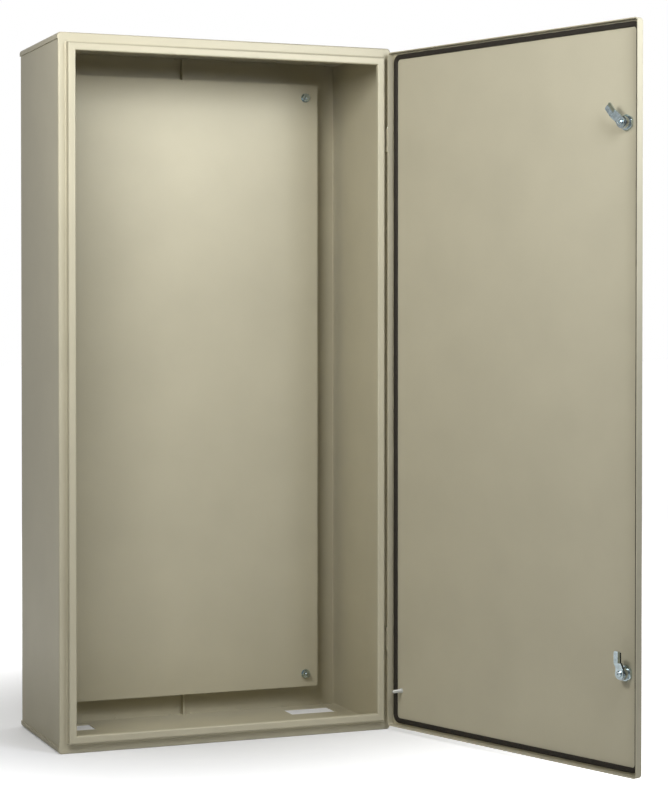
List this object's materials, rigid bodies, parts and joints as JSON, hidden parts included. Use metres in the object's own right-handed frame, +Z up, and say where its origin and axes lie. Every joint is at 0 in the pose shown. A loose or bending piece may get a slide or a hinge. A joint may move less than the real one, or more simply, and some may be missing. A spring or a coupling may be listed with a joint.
{
  "type": "steel wall enclosure",
  "caption": "Tall powder-coated steel wall enclosure with a hinged door, cam locks, foam door seal, raised rim and inner mounting plate on studs, shown with the door open.",
  "frame": {"origin": "centre of the four wall holes, on the outer face of the back", "axes": "+X to the right seen from the front, +Y out of the back into the wall, +Z up; the rest pose has the door open by 108.5 degrees, as pictured"},
  "size_m": [0.7865, 0.8248, 1.2],
  "materials": {
    "powder_coat": "semi-gloss, fine orange-peel texture",
    "zinc_steel": "bright zinc plated",
    "lock_casting": "satin nickel-plated zinc casting",
    "foam_seal": "matt foamed polyurethane",
    "seal_rubber": "matt"
  },
  "bodies": {
    "cabinet": {"left_shell": "powder_coat", "right_shell": "powder_coat", "top_cap": "powder_coat", "bottom_cap": "powder_coat", "mounting_plate": "powder_coat", "plate_studs": "zinc_steel", "plate_spacers": "zinc_steel", "plate_washers": "zinc_steel", "plate_nuts": "zinc_steel", "body_earth_stud": "zinc_steel", "body_earth_nut": "zinc_steel", "upper_hinge_base": "powder_coat", "lower_hinge_base": "powder_coat", "upper_hinge_pin": "zinc_steel", "lower_hinge_pin": "zinc_steel"},
    "door": {"door_panel": "powder_coat", "door_gasket": "foam_seal", "door_earth_stud": "zinc_steel", "upper_hinge_leaf": "powder_coat", "lower_hinge_leaf": "powder_coat", "upper_lock_housing": "lock_casting", "lower_lock_housing": "lock_casting", "upper_lock_seal": "seal_rubber", "lower_lock_seal": "seal_rubber", "upper_lock_nut": "zinc_steel", "lower_lock_nut": "zinc_steel"},
    "upper_latch": {"upper_lock_spindle": "lock_casting", "upper_cam": "zinc_steel", "upper_cam_screw": "zinc_steel"},
    "lower_latch": {"lower_lock_spindle": "lock_casting", "lower_cam": "zinc_steel", "lower_cam_screw": "zinc_steel"}
  },
  "joints": [
    {"name": "door_hinge", "type": "hinge", "parent": "cabinet", "child": "door", "pos_m": [0.2923, -0.272, 0], "axis": [0, 0, 1], "range_deg": [-108.5, 11.5]},
    {"name": "upper_lock_turn", "type": "hinge", "parent": "door", "child": "upper_latch", "pos_m": [0.46486, -0.79402, 0.4305], "axis": [-0.9483, -0.3173, 0], "range_deg": [-130, 50]},
    {"name": "lower_lock_turn", "type": "hinge", "parent": "door", "child": "lower_latch", "pos_m": [0.46486, -0.79402, -0.4305], "axis": [-0.9483, -0.3173, 0], "range_deg": [-90, 90]}
  ]
}
